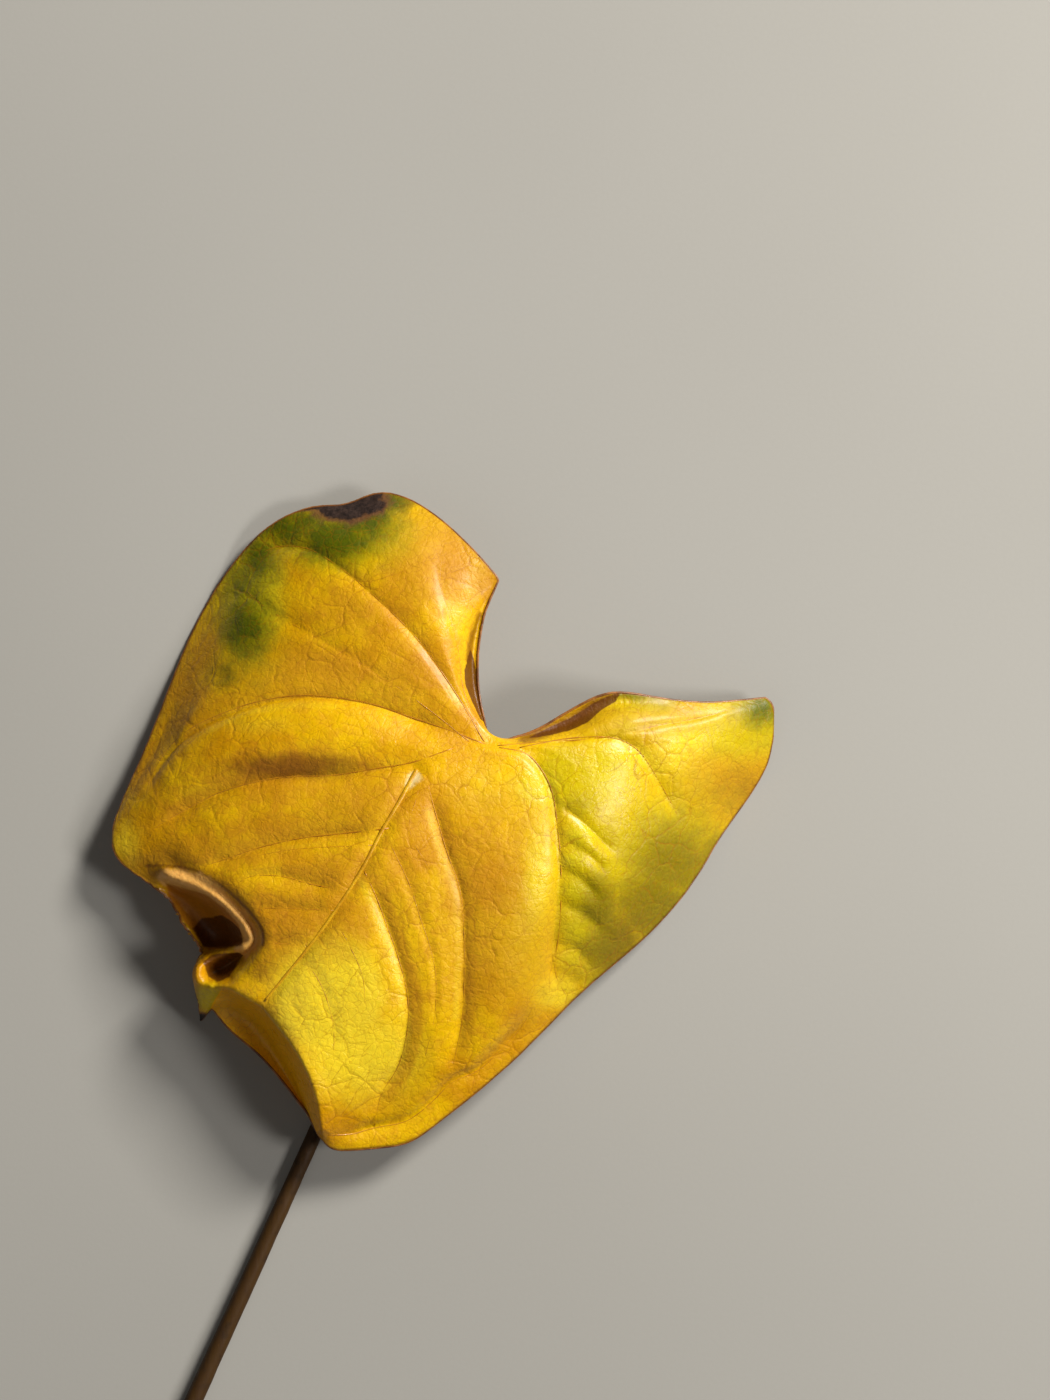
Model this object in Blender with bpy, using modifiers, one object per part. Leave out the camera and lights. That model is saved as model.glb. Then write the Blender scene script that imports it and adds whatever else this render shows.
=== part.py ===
"""Heart-shaped anthurium leaf: a domed, glossy blade on a thin petiole, lying face up.

Everything is drawn in millimetres from the joint where the petiole meets the blade, and the
finished leaf is then centred over the origin. Metres, +Z up, the surface it lies on at z = 0.
"""

import bmesh
import bpy
import numpy as np

MM = 0.001

BLADE_THICKNESS = 0.5
BLADE_SMOOTHING = 1

PETIOLE_SIDES = 14
JOINT_RADIUS = 2.6
NECK_RADIUS = 1.9
CUT_RADIUS = 2.5

BLADE_COLOUR = (0.72, 0.42, 0.02, 1.0)
PETIOLE_COLOUR = (0.055, 0.026, 0.008, 1.0)

# The blade is one sheet, drawn as pairs of rays that leave the midrib to the left and to the
# right and end on the margin. Each point is (x, y, height). The first rays run beside the notch
# between the two lobes, and the last ones follow the curled side and the drip tip.
MIDRIB = (
    (0.3, 0, 26),
    (-0.1, -0.1, 26.2),
    (-0.5, -0.2, 26.4),
    (-1.1, -0.3, 26.7),
    (-1.9, -0.4, 27),
    (-2.7, -0.6, 27.3),
    (-3.5, -0.7, 27.6),
    (-4.5, -0.9, 28),
    (-5.6, -1.1, 28.5),
    (-6.7, -1.4, 29),
    (-8.3, -1.7, 29.6),
    (-13.3, -4.1, 32.4),
    (-19.7, -6.9, 34),
    (-23.9, -14.8, 35.4),
    (-28.2, -23.1, 36),
    (-34.6, -34.8, 35.3),
    (-41.3, -45.8, 34),
    (-48.9, -55.5, 32.3),
    (-55.7, -64, 30.3),
    (-61.5, -70.6, 27),
    (-67, -70.2, 16),
    (-76.3, -69.5, 15),
    (-79.5, -77.3, 4),
)
LEFT_RAYS = (
    ((-2.2, 6.4, 21.5), (-3.8, 16.1, 19.5), (-3.6, 27, 19.5), (-1.4, 35, 20), (2.1, 43.4, 20)),
    ((-3.3, 6.4, 21.5), (-5.5, 15.3, 18), (-5.7, 24.3, 18), (-2.8, 34.8, 19), (1.8, 44.5, 20)),
    ((-4.6, 6.7, 25.3), (-7.5, 15, 25.5), (-7.8, 24.2, 25.5), (-4.9, 35.2, 23.5), (0.5, 46.1, 20)),
    ((-6, 9, 27.5), (-10.5, 22, 28), (-13.5, 34, 27.5), (-15, 47.5, 23.5), (-11.5, 59.5, 17)),
    ((-7, 10.5, 28.5), (-13.5, 24.5, 29), (-19.5, 41, 26.5), (-24.5, 57, 19), (-28.5, 70.5, 9)),
    ((-8, 9.5, 29), (-17, 21.5, 29.5), (-28, 37.5, 26), (-39.5, 53, 18), (-46, 64.5, 9)),
    ((-9.5, 10, 29.5), (-19.5, 26, 29.5), (-34.5, 42, 24.5), (-49.5, 52, 15.5), (-62, 60.5, 5)),
    ((-10.5, 7.5, 29.5), (-24, 19.5, 29.5), (-41.5, 30, 24.5), (-62, 37.5, 13.5),
     (-80.5, 35.5, -1.5)),
    ((-11, 5, 30), (-25.5, 14, 29.5), (-44.5, 20, 26), (-66.5, 20, 17), (-89.5, 9.5, 4)),
    ((-16, 6.5, 30), (-36, 14, 29), (-56.5, 16, 25), (-76.5, 11.5, 18), (-96.5, -7.5, 5.5)),
    ((-23.5, 8, 30), (-46, 12.5, 28.5), (-65, 10.5, 24.5), (-81, 3.5, 19), (-91.5, -7.5, 13.5),
     (-102, -20, 8)),
    ((-24, -1, 31.5), (-44, 1.5, 30), (-63, 0, 26.5), (-79.5, -6.5, 21), (-92.5, -16.5, 15),
     (-103, -25, 9.5)),
    ((-25.5, -7.5, 33), (-42.5, -9, 30), (-61, -10, 28), (-78, -16.5, 23), (-92, -24.5, 16.5),
     (-103, -29, 11)),
    ((-43, -17, 31.5), (-61, -20, 28.5), (-78, -25.5, 24), (-92, -30.5, 17.5), (-100, -34, 13)),
    ((-42.7, -25, 33), (-62.9, -28.9, 29.5), (-80.1, -33.6, 25), (-83.6, -35.5, 18),
     (-86.3, -37.1, 18), (-89.1, -38.6, 14), (-91.9, -39.2, 13)),
    ((-48, -36.8, 33), (-61, -36.9, 31), (-71.8, -38.6, 28.5), (-73.4, -40, 21),
     (-75.7, -40.6, 26.5), (-81.6, -43, 13), (-87.4, -42.9, 15)),
    ((-50.7, -45.1, 32.5), (-58.3, -44.6, 31.5), (-64.8, -45, 30), (-66.3, -46.1, 22),
     (-68.7, -45.9, 28), (-76.9, -48, 10), (-85.2, -47.3, 15)),
    ((-53.5, -54.5, 31.5), (-57.2, -53.2, 31), (-60.5, -51.9, 30), (-62, -53.1, 22),
     (-64.3, -52, 28.5), (-73.2, -53.1, 8), (-82, -52.7, 14)),
    ((-58.4, -61, 29.8), (-60, -57.8, 29.5), (-61.6, -55.2, 29), (-64.3, -57.3, 20),
     (-67.6, -55.6, 27), (-72.9, -55.3, 12), (-78, -56.9, 13)),
    ((-64.5, -69.3, 26.3), (-67.2, -67.2, 26), (-68.8, -63.7, 25.5), (-74.7, -62.2, 10),
     (-80.3, -60.4, 23), (-81, -60.4, 17), (-80, -60.2, 12)),
    ((-68.8, -68.6, 17), (-70.6, -67.1, 19), (-72.4, -66.5, 20), (-75.1, -66.2, 20.5),
     (-78.9, -65.6, 20.5), (-80.6, -64.1, 19), (-80.5, -65.3, 12)),
    ((-76.8, -69.1, 15.3), (-77.3, -68.8, 15.5), (-77.9, -68.7, 15.5), (-78.4, -68.5, 15.2),
     (-78.8, -68.5, 14.8), (-79.2, -68.7, 14.2), (-79.5, -69.3, 13.5)),
    ((-79.2, -75.5, 6), (-79.3, -74.7, 7), (-79.3, -73.8, 8), (-79.3, -72.9, 9), (-79.3, -72, 10),
     (-79.3, -71.3, 11), (-79.3, -70.5, 12)),
)
RIGHT_RAYS = (
    ((9.9, 1.3, 24.5), (21, 7.8, 23.5), (29.6, 13.4, 23), (35.5, 14.8, 22.5), (45.6, 11.3, 19.5),
     (63.2, 10.7, 13), (74.9, 11.8, 7)),
    ((9.9, 0.8, 25), (21.5, 5.3, 21), (30.5, 9.9, 20.5), (36.1, 12.4, 21.5), (45.6, 9.9, 20.5),
     (63.1, 9.1, 14), (76, 11, 7)),
    ((10.2, 0.1, 27.3), (23.6, 2.7, 27.6), (34.1, 8.3, 26), (45.8, 7.8, 22), (63.1, 7.5, 15.3),
     (77.1, 9.6, 7)),
    ((10.5, -0.5, 28.5), (29.5, 1.5, 28.5), (45.5, 4.5, 24.5), (62, 5, 16.5), (77.5, 5.5, 6)),
    ((12, -1, 29), (31, -1, 28.5), (48, -0.5, 23), (65, -3, 12.5), (76.5, -6.5, 2)),
    ((12.5, -1.5, 29.5), (31.5, -4, 28.5), (46.5, -7.5, 22.5), (59.5, -13, 12), (68.5, -18.5, -0.5)),
    ((13, -2.5, 29.5), (29.5, -7, 29), (41.5, -13.5, 24), (51.5, -20.5, 15), (61.5, -27.5, 3)),
    ((12.5, -3, 30), (26.5, -10.5, 30), (37.5, -19.5, 25.5), (47.5, -29, 16.5), (57, -36.5, 5)),
    ((11.5, -3.5, 30.5), (22, -13, 31), (31, -25, 28), (38.5, -38.5, 19.5), (45, -51.5, 7)),
    ((6.5, -2.5, 30.5), (16, -7.5, 31), (24, -19.5, 31), (29, -33.5, 29.5), (31.5, -51, 17),
     (30.5, -63, 8)),
    ((2.5, -2, 30.5), (10, -3.5, 31), (16.5, -14.5, 32.5), (19, -32.5, 31), (18.5, -51, 24),
     (22, -70.5, 9)),
    ((-11, -8, 33), (2, -26, 33.5), (6.5, -47.5, 31.5), (7, -65.5, 26.5), (4.5, -80.5, 18),
     (5, -88.5, 11)),
    ((-16.5, -11.5, 34.5), (-12, -26, 34.5), (-7.5, -45, 32.5), (-7, -65, 28), (-9, -82, 21.5),
     (-11.5, -96, 14.5), (-13.5, -103, 11)),
    ((-17.5, -31.5, 34.5), (-12, -50, 31.5), (-11.5, -69, 27.5), (-14.5, -87, 20.5),
     (-20.5, -108.5, 11)),
    ((-22, -37.5, 34), (-17, -54.5, 31.5), (-15, -72, 27.5), (-18.5, -88.5, 20), (-25.5, -110, 11.5)),
    ((-28.5, -47.5, 33.5), (-23.5, -62.5, 30.5), (-22.5, -77.5, 26.5), (-27, -91.5, 19.5),
     (-32, -110.5, 12)),
    ((-35, -58, 32), (-31.5, -72, 29.5), (-30.5, -85.5, 24.5), (-33.5, -100, 17.5),
     (-37, -111, 12.5)),
    ((-44, -65, 31), (-40.5, -77, 29), (-38.5, -89.5, 25), (-39.5, -103.5, 17.5),
     (-40.5, -111, 12.5)),
    ((-51, -73, 29.5), (-46.5, -84, 27.5), (-44.5, -95, 24), (-44, -105.5, 17),
     (-43.5, -110.5, 13.5)),
    ((-59.3, -72.8, 26.7), (-56.9, -75.7, 26.4), (-54, -80.1, 25.7), (-51.1, -86.1, 24.3),
     (-48.6, -93.3, 22), (-46.8, -100.6, 19), (-45.4, -107.8, 14.5)),
    ((-64.2, -73.4, 13), (-61.5, -77.6, 11.5), (-58.3, -83.1, 11), (-54.8, -89.3, 11),
     (-51.8, -95.6, 11), (-49.3, -100.9, 12), (-46.6, -107, 11.3)),
    ((-73.3, -69.8, 14.5), (-69.9, -74, 13), (-65.8, -78.6, 12.4), (-60.7, -84.6, 12.2),
     (-55.3, -92, 12), (-50.9, -98.8, 11.8), (-48, -104.5, 11.6)),
    ((-75.7, -71.4, 11), (-74, -74.8, 12.3), (-69.9, -79.4, 13), (-63.9, -83.7, 13.2),
     (-58.5, -89.7, 13.2), (-53.6, -96, 12.8), (-49.5, -101.4, 12.8)),
)

# The last rays of each side hold folds, so they give one point per column of the sheet. The
# others are divided at these shares of their length.
PLAIN_LEFT = 14
PLAIN_RIGHT = 19
LEFT_SHARES = (0.27, 0.52, 0.76, 0.83, 0.89, 0.95, 1.0)
RIGHT_SHARES = (0.143, 0.286, 0.429, 0.571, 0.714, 0.857, 1.0)

# The petiole's centre line, from under the joint down to the surface and on to the cut end:
# (x, y, height, radius).
PETIOLE = (
    (-0.9, -1.8, 28.8, 1.4),
    (-1.3, -2.8, 27.5, 2.3),
    (-2.4, -5.4, 25.2, JOINT_RADIUS),
    (-4.8, -11.0, 22.2, 2.4),
    (-7.8, -17.8, 19.2, NECK_RADIUS),
    (-15.0, -34.0, 12.8, NECK_RADIUS),
    (-28.0, -63.0, 5.6, 1.95),
    (-40.0, -89.5, 2.3, 2.0),
    (-52.0, -116.0, 2.2, 2.1),
    (-69.0, -153.5, 2.35, 2.3),
    (-90.0, -199.5, 2.5, CUT_RADIUS),
)


def clear_scene():
    for item in list(bpy.data.objects):
        bpy.data.objects.remove(item, do_unlink=True)


def material(name, colour, roughness):
    made = bpy.data.materials.new(name)
    made.use_nodes = True
    shader = made.node_tree.nodes["Principled BSDF"]
    shader.inputs["Base Color"].default_value = colour
    shader.inputs["Roughness"].default_value = roughness
    shader.inputs["Metallic"].default_value = 0.0
    return made


def spline_point(points, place):
    """A point of the smooth curve through these points; place counts from 0 at the first."""
    last = len(points) - 1
    i = min(int(place), last - 1)
    p1, p2 = points[i], points[i + 1]
    p0 = points[i - 1] if i > 0 else 2 * p1 - p2
    p3 = points[i + 2] if i + 2 <= last else 2 * p2 - p1
    knots = [0.0]
    for a, b in ((p0, p1), (p1, p2), (p2, p3)):
        knots.append(knots[-1] + max(np.linalg.norm(b - a), 1e-6) ** 0.5)
    t0, t1, t2, t3 = knots
    t = t1 + (place - i) * (t2 - t1)
    a1 = ((t1 - t) * p0 + (t - t0) * p1) / (t1 - t0)
    a2 = ((t2 - t) * p1 + (t - t1) * p2) / (t2 - t1)
    a3 = ((t3 - t) * p2 + (t - t2) * p3) / (t3 - t2)
    b1 = ((t2 - t) * a1 + (t - t0) * a2) / (t2 - t0)
    b2 = ((t3 - t) * a2 + (t - t1) * a3) / (t3 - t1)
    return ((t2 - t) * b1 + (t - t1) * b2) / (t2 - t1)


def divide(points, shares):
    """Points at these shares of the length of the curve through the given points."""
    places = np.linspace(0, len(points) - 1, 16 * (len(points) - 1) + 1)
    curve = np.array([spline_point(points, place) for place in places])
    steps = np.linalg.norm(np.diff(curve, axis=0), axis=1)
    length = np.concatenate([[0], np.cumsum(steps)])
    length /= length[-1]
    return [
        np.array([np.interp(share, length, curve[:, k]) for k in range(3)])
        for share in shares
    ]


def blade_cage():
    """Rows of points across the blade, margin to margin, one for each pair of rays."""
    rows = []
    for i, start in enumerate(MIDRIB):
        left = [np.array(p, float) for p in LEFT_RAYS[i]]
        right = [np.array(p, float) for p in RIGHT_RAYS[i]]
        middle = np.array(start, float)
        if i < PLAIN_LEFT:
            left = divide([middle] + left, LEFT_SHARES)
        if i < PLAIN_RIGHT:
            right = divide([middle] + right, RIGHT_SHARES)
        rows.append(left[::-1] + [middle] + right)
    return np.array(rows)


def make_blade(collection):
    cage = blade_cage() * MM
    mesh = bpy.data.meshes.new("leaf_blade")
    build = bmesh.new()
    grid = [[build.verts.new(point) for point in row] for row in cage]
    for upper, lower in zip(grid, grid[1:]):
        for c in range(len(upper) - 1):
            build.faces.new((upper[c], lower[c], lower[c + 1], upper[c + 1]))
    build.to_mesh(mesh)
    build.free()
    blade = bpy.data.objects.new("leaf_blade", mesh)
    collection.objects.link(blade)
    soft = blade.modifiers.new("soft_form", "SUBSURF")
    soft.levels = BLADE_SMOOTHING
    soft.render_levels = BLADE_SMOOTHING
    soft.boundary_smooth = "PRESERVE_CORNERS"
    wall = blade.modifiers.new("thickness", "SOLIDIFY")
    wall.thickness = BLADE_THICKNESS * MM
    wall.offset = 0.0
    blade.data.materials.append(material("leaf_blade", BLADE_COLOUR, 0.35))
    return blade


def make_petiole(collection):
    curve = bpy.data.curves.new("petiole", "CURVE")
    curve.dimensions = "3D"
    curve.bevel_depth = MM
    curve.bevel_resolution = PETIOLE_SIDES // 2 - 2
    curve.resolution_u = 4
    curve.use_fill_caps = True
    line = curve.splines.new("NURBS")
    line.points.add(len(PETIOLE) - 1)
    for point, (x, y, z, radius) in zip(line.points, PETIOLE):
        point.co = (x * MM, y * MM, z * MM, 1.0)
        point.radius = radius
    line.order_u = 4
    line.use_endpoint_u = True
    petiole = bpy.data.objects.new("petiole", curve)
    collection.objects.link(petiole)
    curve.materials.append(material("petiole", PETIOLE_COLOUR, 0.5))
    return petiole


def centre_over_origin(pieces):
    """Moves the pieces so that their box is centred in X and Y and stands on z = 0."""
    bpy.context.view_layer.update()
    graph = bpy.context.evaluated_depsgraph_get()
    corners = []
    for piece in pieces:
        mesh = piece.evaluated_get(graph).to_mesh()
        points = np.empty(len(mesh.vertices) * 3, np.float32)
        mesh.vertices.foreach_get("co", points)
        corners.append(points.reshape(-1, 3))
    points = np.concatenate(corners)
    low, high = points.min(axis=0), points.max(axis=0)
    for piece in pieces:
        piece.location = (-(low[0] + high[0]) / 2, -(low[1] + high[1]) / 2, -low[2])


def main():
    clear_scene()
    collection = bpy.data.collections.new("anthurium_leaf")
    bpy.context.scene.collection.children.link(collection)
    centre_over_origin([make_blade(collection), make_petiole(collection)])


main()
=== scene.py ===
"""Anthurium leaf lying face up on a pale floor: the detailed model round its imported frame.

The leaf is drawn in millimetres from the joint where the petiole meets the blade, as the
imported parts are, and is moved to its place over the origin.
"""

import math

import bpy
import numpy as np
from bpy.props import FloatProperty, FloatVectorProperty, IntProperty, PointerProperty
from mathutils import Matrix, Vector
from mathutils.bvhtree import BVHTree


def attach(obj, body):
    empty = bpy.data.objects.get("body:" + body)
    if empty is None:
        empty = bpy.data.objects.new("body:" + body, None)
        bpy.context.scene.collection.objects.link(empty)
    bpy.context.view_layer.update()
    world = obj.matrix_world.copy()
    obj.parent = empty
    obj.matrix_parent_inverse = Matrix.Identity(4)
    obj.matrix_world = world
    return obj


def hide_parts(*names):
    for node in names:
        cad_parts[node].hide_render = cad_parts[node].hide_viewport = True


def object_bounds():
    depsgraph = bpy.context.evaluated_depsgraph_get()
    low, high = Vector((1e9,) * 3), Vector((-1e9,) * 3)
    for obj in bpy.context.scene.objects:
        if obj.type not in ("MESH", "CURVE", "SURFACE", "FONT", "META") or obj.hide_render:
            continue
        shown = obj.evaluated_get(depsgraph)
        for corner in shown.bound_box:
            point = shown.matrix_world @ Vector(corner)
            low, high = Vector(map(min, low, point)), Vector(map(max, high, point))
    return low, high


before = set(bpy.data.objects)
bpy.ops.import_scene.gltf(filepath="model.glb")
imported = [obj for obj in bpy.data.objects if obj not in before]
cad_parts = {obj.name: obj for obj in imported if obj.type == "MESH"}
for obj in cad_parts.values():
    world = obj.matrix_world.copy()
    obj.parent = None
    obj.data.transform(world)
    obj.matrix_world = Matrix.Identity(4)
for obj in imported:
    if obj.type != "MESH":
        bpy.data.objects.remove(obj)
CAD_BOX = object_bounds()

bl_info = {
    "name": "Anthurium Leaf",
    "version": (1, 0, 0),
    "blender": (4, 5, 0),
    "location": "View3D > Sidebar > Leaf",
    "description": "Builds a yellowing anthurium leaf on its packed frame",
    "category": "Object",
}

MM = 0.001
JOINT = np.array((12.824, 66.364, -0.05))

# Pairs of rays that leave the midrib to the left and to the right and end on the margin, as
# (x, y, height). The first run beside the notch, the last follow the curled side and the tip.
MIDRIB = (
    (0.3, 0, 26), (-0.1, -0.1, 26.2), (-0.5, -0.2, 26.4), (-1.1, -0.3, 26.7), (-1.9, -0.4, 27),
    (-2.7, -0.6, 27.3), (-3.5, -0.7, 27.6), (-4.5, -0.9, 28), (-5.6, -1.1, 28.5), (-6.7, -1.4, 29),
    (-8.3, -1.7, 29.6), (-13.3, -4.1, 32.4), (-19.7, -6.9, 34), (-23.9, -14.8, 35.4),
    (-28.2, -23.1, 36), (-34.6, -34.8, 35.3), (-41.3, -45.8, 34), (-48.9, -55.5, 32.3),
    (-55.7, -64, 30.3), (-61.5, -70.6, 27), (-67, -70.2, 16), (-76.3, -69.5, 15),
    (-79.5, -77.3, 4),
)
LEFT_RAYS = (
    ((-2.2, 6.4, 21.5), (-3.8, 16.1, 19.5), (-3.6, 27, 19.5), (-1.4, 35, 20), (2.1, 43.4, 20)),
    ((-3.3, 6.4, 21.5), (-5.5, 15.3, 18), (-5.7, 24.3, 18), (-2.8, 34.8, 19), (1.8, 44.5, 20)),
    ((-4.6, 6.7, 25.3), (-7.5, 15, 25.5), (-7.8, 24.2, 25.5), (-4.9, 35.2, 23.5), (0.5, 46.1, 20)),
    ((-6, 9, 27.5), (-10.5, 22, 28), (-13.5, 34, 27.5), (-15, 47.5, 23.5), (-11.5, 59.5, 17)),
    ((-7, 10.5, 28.5), (-13.5, 24.5, 29), (-19.5, 41, 26.5), (-24.5, 57, 19), (-28.5, 70.5, 9)),
    ((-8, 9.5, 29), (-17, 21.5, 29.5), (-28, 37.5, 26), (-39.5, 53, 18), (-46, 64.5, 9)),
    ((-9.5, 10, 29.5), (-19.5, 26, 29.5), (-34.5, 42, 24.5), (-49.5, 52, 15.5), (-62, 60.5, 5)),
    ((-10.5, 7.5, 29.5), (-24, 19.5, 29.5), (-41.5, 30, 24.5), (-62, 37.5, 13.5),
     (-80.5, 35.5, -1.5)),
    ((-11, 5, 30), (-25.5, 14, 29.5), (-44.5, 20, 26), (-66.5, 20, 17), (-89.5, 9.5, 4)),
    ((-16, 6.5, 30), (-36, 14, 29), (-56.5, 16, 25), (-76.5, 11.5, 18), (-96.5, -7.5, 5.5)),
    ((-23.5, 8, 30), (-46, 12.5, 28.5), (-65, 10.5, 24.5), (-81, 3.5, 19), (-91.5, -7.5, 13.5),
     (-102, -20, 8)),
    ((-24, -1, 31.5), (-44, 1.5, 30), (-63, 0, 26.5), (-79.5, -6.5, 21), (-92.5, -16.5, 15),
     (-103, -25, 9.5)),
    ((-25.5, -7.5, 33), (-42.5, -9, 30), (-61, -10, 28), (-78, -16.5, 23), (-92, -24.5, 16.5),
     (-103, -29, 11)),
    ((-43, -17, 31.5), (-61, -20, 28.5), (-78, -25.5, 24), (-92, -30.5, 17.5), (-100, -34, 13)),
    ((-42.7, -25, 33), (-62.9, -28.9, 29.5), (-80.1, -33.6, 25), (-83.6, -35.5, 18),
     (-86.3, -37.1, 18), (-89.1, -38.6, 14), (-91.9, -39.2, 13)),
    ((-48, -36.8, 33), (-61, -36.9, 31), (-71.8, -38.6, 28.5), (-73.4, -40, 21),
     (-75.7, -40.6, 26.5), (-81.6, -43, 13), (-87.4, -42.9, 15)),
    ((-50.7, -45.1, 32.5), (-58.3, -44.6, 31.5), (-64.8, -45, 30), (-66.3, -46.1, 22),
     (-68.7, -45.9, 28), (-76.9, -48, 10), (-85.2, -47.3, 15)),
    ((-53.5, -54.5, 31.5), (-57.2, -53.2, 31), (-60.5, -51.9, 30), (-62, -53.1, 22),
     (-64.3, -52, 28.5), (-73.2, -53.1, 8), (-82, -52.7, 14)),
    ((-58.4, -61, 29.8), (-60, -57.8, 29.5), (-61.6, -55.2, 29), (-64.3, -57.3, 20),
     (-67.6, -55.6, 27), (-72.9, -55.3, 12), (-78, -56.9, 13)),
    ((-64.5, -69.3, 26.3), (-67.2, -67.2, 26), (-68.8, -63.7, 25.5), (-74.7, -62.2, 10),
     (-80.3, -60.4, 23), (-81, -60.4, 17), (-80, -60.2, 12)),
    ((-68.8, -68.6, 17), (-70.6, -67.1, 19), (-72.4, -66.5, 20), (-75.1, -66.2, 20.5),
     (-78.9, -65.6, 20.5), (-80.6, -64.1, 19), (-80.5, -65.3, 12)),
    ((-76.8, -69.1, 15.3), (-77.3, -68.8, 15.5), (-77.9, -68.7, 15.5), (-78.4, -68.5, 15.2),
     (-78.8, -68.5, 14.8), (-79.2, -68.7, 14.2), (-79.5, -69.3, 13.5)),
    ((-79.2, -75.5, 6), (-79.3, -74.7, 7), (-79.3, -73.8, 8), (-79.3, -72.9, 9), (-79.3, -72, 10),
     (-79.3, -71.3, 11), (-79.3, -70.5, 12)),
)
RIGHT_RAYS = (
    ((9.9, 1.3, 24.5), (21, 7.8, 23.5), (29.6, 13.4, 23), (35.5, 14.8, 22.5), (45.6, 11.3, 19.5),
     (63.2, 10.7, 13), (74.9, 11.8, 7)),
    ((9.9, 0.8, 25), (21.5, 5.3, 21), (30.5, 9.9, 20.5), (36.1, 12.4, 21.5), (45.6, 9.9, 20.5),
     (63.1, 9.1, 14), (76, 11, 7)),
    ((10.2, 0.1, 27.3), (23.6, 2.7, 27.6), (34.1, 8.3, 26), (45.8, 7.8, 22), (63.1, 7.5, 15.3),
     (77.1, 9.6, 7)),
    ((10.5, -0.5, 28.5), (29.5, 1.5, 28.5), (45.5, 4.5, 24.5), (62, 5, 16.5), (77.5, 5.5, 6)),
    ((12, -1, 29), (31, -1, 28.5), (48, -0.5, 23), (65, -3, 12.5), (76.5, -6.5, 2)),
    ((12.5, -1.5, 29.5), (31.5, -4, 28.5), (46.5, -7.5, 22.5), (59.5, -13, 12),
     (68.5, -18.5, -0.5)),
    ((13, -2.5, 29.5), (29.5, -7, 29), (41.5, -13.5, 24), (51.5, -20.5, 15), (61.5, -27.5, 3)),
    ((12.5, -3, 30), (26.5, -10.5, 30), (37.5, -19.5, 25.5), (47.5, -29, 16.5), (57, -36.5, 5)),
    ((11.5, -3.5, 30.5), (22, -13, 31), (31, -25, 28), (38.5, -38.5, 19.5), (45, -51.5, 7)),
    ((6.5, -2.5, 30.5), (16, -7.5, 31), (24, -19.5, 31), (29, -33.5, 29.5), (31.5, -51, 17),
     (30.5, -63, 8)),
    ((2.5, -2, 30.5), (10, -3.5, 31), (16.5, -14.5, 32.5), (19, -32.5, 31), (18.5, -51, 24),
     (22, -70.5, 9)),
    ((-11, -8, 33), (2, -26, 33.5), (6.5, -47.5, 31.5), (7, -65.5, 26.5), (4.5, -80.5, 18),
     (5, -88.5, 11)),
    ((-16.5, -11.5, 34.5), (-12, -26, 34.5), (-7.5, -45, 32.5), (-7, -65, 28), (-9, -82, 21.5),
     (-11.5, -96, 14.5), (-13.5, -103, 11)),
    ((-17.5, -31.5, 34.5), (-12, -50, 31.5), (-11.5, -69, 27.5), (-14.5, -87, 20.5),
     (-20.5, -108.5, 11)),
    ((-22, -37.5, 34), (-17, -54.5, 31.5), (-15, -72, 27.5), (-18.5, -88.5, 20),
     (-25.5, -110, 11.5)),
    ((-28.5, -47.5, 33.5), (-23.5, -62.5, 30.5), (-22.5, -77.5, 26.5), (-27, -91.5, 19.5),
     (-32, -110.5, 12)),
    ((-35, -58, 32), (-31.5, -72, 29.5), (-30.5, -85.5, 24.5), (-33.5, -100, 17.5),
     (-37, -111, 12.5)),
    ((-44, -65, 31), (-40.5, -77, 29), (-38.5, -89.5, 25), (-39.5, -103.5, 17.5),
     (-40.5, -111, 12.5)),
    ((-51, -73, 29.5), (-46.5, -84, 27.5), (-44.5, -95, 24), (-44, -105.5, 17),
     (-43.5, -110.5, 13.5)),
    ((-59.3, -72.8, 26.7), (-56.9, -75.7, 26.4), (-54, -80.1, 25.7), (-51.1, -86.1, 24.3),
     (-48.6, -93.3, 22), (-46.8, -100.6, 19), (-45.4, -107.8, 14.5)),
    ((-64.2, -73.4, 13), (-61.5, -77.6, 11.5), (-58.3, -83.1, 11), (-54.8, -89.3, 11),
     (-51.8, -95.6, 11), (-49.3, -100.9, 12), (-46.6, -107, 11.3)),
    ((-73.3, -69.8, 14.5), (-69.9, -74, 13), (-65.8, -78.6, 12.4), (-60.7, -84.6, 12.2),
     (-55.3, -92, 12), (-50.9, -98.8, 11.8), (-48, -104.5, 11.6)),
    ((-75.7, -71.4, 11), (-74, -74.8, 12.3), (-69.9, -79.4, 13), (-63.9, -83.7, 13.2),
     (-58.5, -89.7, 13.2), (-53.6, -96, 12.8), (-49.5, -101.4, 12.8)),
)
# This many of the first rays are divided again, at these shares.
PLAIN_LEFT = 14
PLAIN_RIGHT = 19
LEFT_SHARES = (0.27, 0.52, 0.76, 0.83, 0.89, 0.95, 1.0)
RIGHT_SHARES = (0.143, 0.286, 0.429, 0.571, 0.714, 0.857, 1.0)

# Veins in plan, from their start to their end.
MIDRIB_VEIN = (
    (-19.6, -7.4), (-21.5, -10.8), (-24, -15.5), (-28.5, -23), (-34.5, -34.5), (-42, -46),
    (-49, -55.5), (-56, -64), (-60.5, -69.5),
)
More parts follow.
